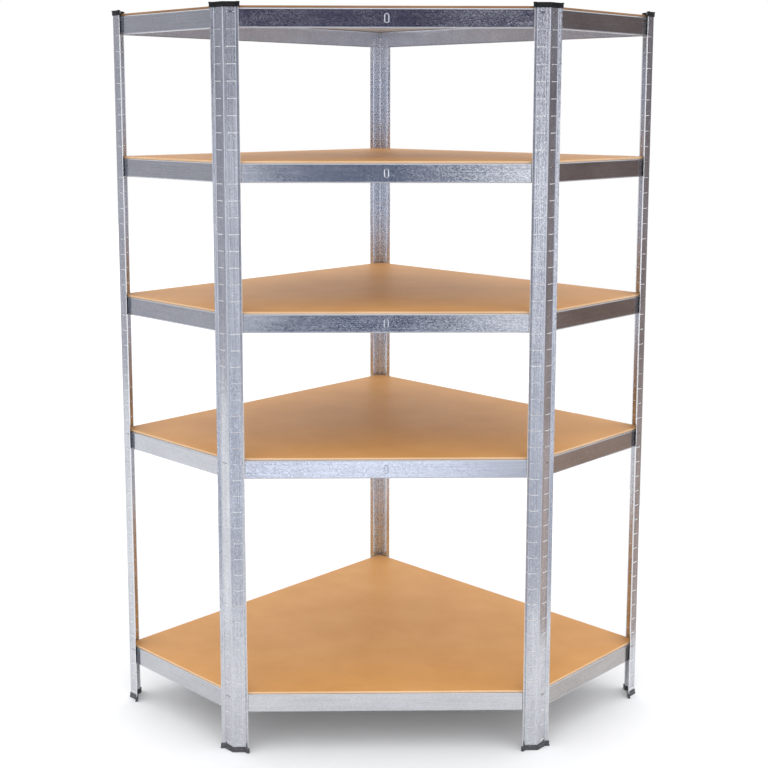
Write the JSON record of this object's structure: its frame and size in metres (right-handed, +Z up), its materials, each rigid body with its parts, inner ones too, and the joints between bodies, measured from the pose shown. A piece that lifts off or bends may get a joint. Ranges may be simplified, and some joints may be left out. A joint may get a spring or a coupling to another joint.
{
  "type": "corner shelf unit",
  "caption": "Free-standing corner rack of slotted galvanised steel angle posts and hooked beams, with loose pentagonal fibreboard shelves and black plastic feet and caps.",
  "frame": {"origin": "on the floor, under the middle of the unit's bounding box", "axes": "+Z up; -Y is the front, the long straight edge between the two front posts; +Y points to the rear corner, where the two wall sides meet at a right angle; +X is the right side seen from the front"},
  "size_m": [1.3616, 0.997, 1.8049],
  "materials": {
    "galvanised_steel": "hot-dip galvanised sheet, satin, with a fine spangle",
    "fibreboard": "uncoated tan medium-density fibreboard, matt, sawn edges",
    "black_plastic": "injection-moulded black plastic, matt"
  },
  "bodies": {
    "frame": {"post_rear_lower": "galvanised_steel", "post_rear_upper": "galvanised_steel", "splice_rear": "galvanised_steel", "foot_rear": "black_plastic", "cap_rear": "black_plastic", "post_left_wall_lower": "galvanised_steel", "post_left_wall_upper": "galvanised_steel", "splice_left_wall": "galvanised_steel", "foot_left_wall": "black_plastic", "cap_left_wall": "black_plastic", "post_left_front_lower": "galvanised_steel", "post_left_front_upper": "galvanised_steel", "splice_left_front": "galvanised_steel", "foot_left_front": "black_plastic", "cap_left_front": "black_plastic", "post_right_front_lower": "galvanised_steel", "post_right_front_upper": "galvanised_steel", "splice_right_front": "galvanised_steel", "foot_right_front": "black_plastic", "cap_right_front": "black_plastic", "post_right_wall_lower": "galvanised_steel", "post_right_wall_upper": "galvanised_steel", "splice_right_wall": "galvanised_steel", "foot_right_wall": "black_plastic", "cap_right_wall": "black_plastic", "beam_1_left_wall": "galvanised_steel", "beam_1_left_side": "galvanised_steel", "beam_1_front": "galvanised_steel", "beam_1_right_side": "galvanised_steel", "beam_1_right_wall": "galvanised_steel", "beam_2_left_wall": "galvanised_steel", "beam_2_left_side": "galvanised_steel", "beam_2_front": "galvanised_steel", "beam_2_right_side": "galvanised_steel", "beam_2_right_wall": "galvanised_steel", "beam_3_left_wall": "galvanised_steel", "beam_3_left_side": "galvanised_steel", "beam_3_front": "galvanised_steel", "beam_3_right_side": "galvanised_steel", "beam_3_right_wall": "galvanised_steel", "beam_4_left_wall": "galvanised_steel", "beam_4_left_side": "galvanised_steel", "beam_4_front": "galvanised_steel", "beam_4_right_side": "galvanised_steel", "beam_4_right_wall": "galvanised_steel", "beam_5_left_wall": "galvanised_steel", "beam_5_left_side": "galvanised_steel", "beam_5_front": "galvanised_steel", "beam_5_right_side": "galvanised_steel", "beam_5_right_wall": "galvanised_steel"},
    "shelf_1": {"board_1": "fibreboard"},
    "shelf_2": {"board_2": "fibreboard"},
    "shelf_3": {"board_3": "fibreboard"},
    "shelf_4": {"board_4": "fibreboard"},
    "shelf_5": {"board_5": "fibreboard"}
  },
  "joints": [
    {"name": "shelf_1_lift", "type": "slide", "parent": "frame", "child": "shelf_1", "axis": [0, 0, 1], "range_m": [0, 0.533]},
    {"name": "shelf_2_lift", "type": "slide", "parent": "frame", "child": "shelf_2", "axis": [0, 0, 1], "range_m": [0, 0.299]},
    {"name": "shelf_3_lift", "type": "slide", "parent": "frame", "child": "shelf_3", "axis": [0, 0, 1], "range_m": [0, 0.299]},
    {"name": "shelf_4_lift", "type": "slide", "parent": "frame", "child": "shelf_4", "axis": [0, 0, 1], "range_m": [0, 0.299]},
    {"name": "shelf_5_lift", "type": "slide", "parent": "frame", "child": "shelf_5", "axis": [0, 0, 1], "range_m": [0, 0.3]}
  ]
}
